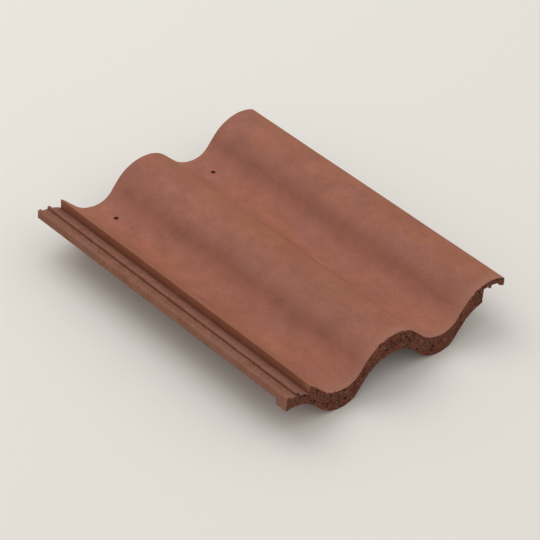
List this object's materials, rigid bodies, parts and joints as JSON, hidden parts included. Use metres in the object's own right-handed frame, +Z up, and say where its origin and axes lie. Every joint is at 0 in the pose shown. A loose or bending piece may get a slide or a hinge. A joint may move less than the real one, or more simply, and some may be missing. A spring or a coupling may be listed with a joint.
{
  "type": "interlocking roof tile",
  "caption": "Wave-shaped interlocking roof tile with rolls and pans, a side lock, batten nibs and nail holes.",
  "frame": {"origin": "middle of the tile's bounding box, on the floor that it lies on", "axes": "+Y along the tile towards the head that hangs on the batten, +X across it towards the cover roll, +Z up through the weathering face"},
  "size_m": [0.332, 0.4202, 0.0681],
  "materials": {
    "tile": "matt terracotta coating on concrete, mottled orange brown and mauve, dark and granular on the cut ends"
  },
  "bodies": {
    "root": {"tile": "tile"}
  },
  "joints": []
}
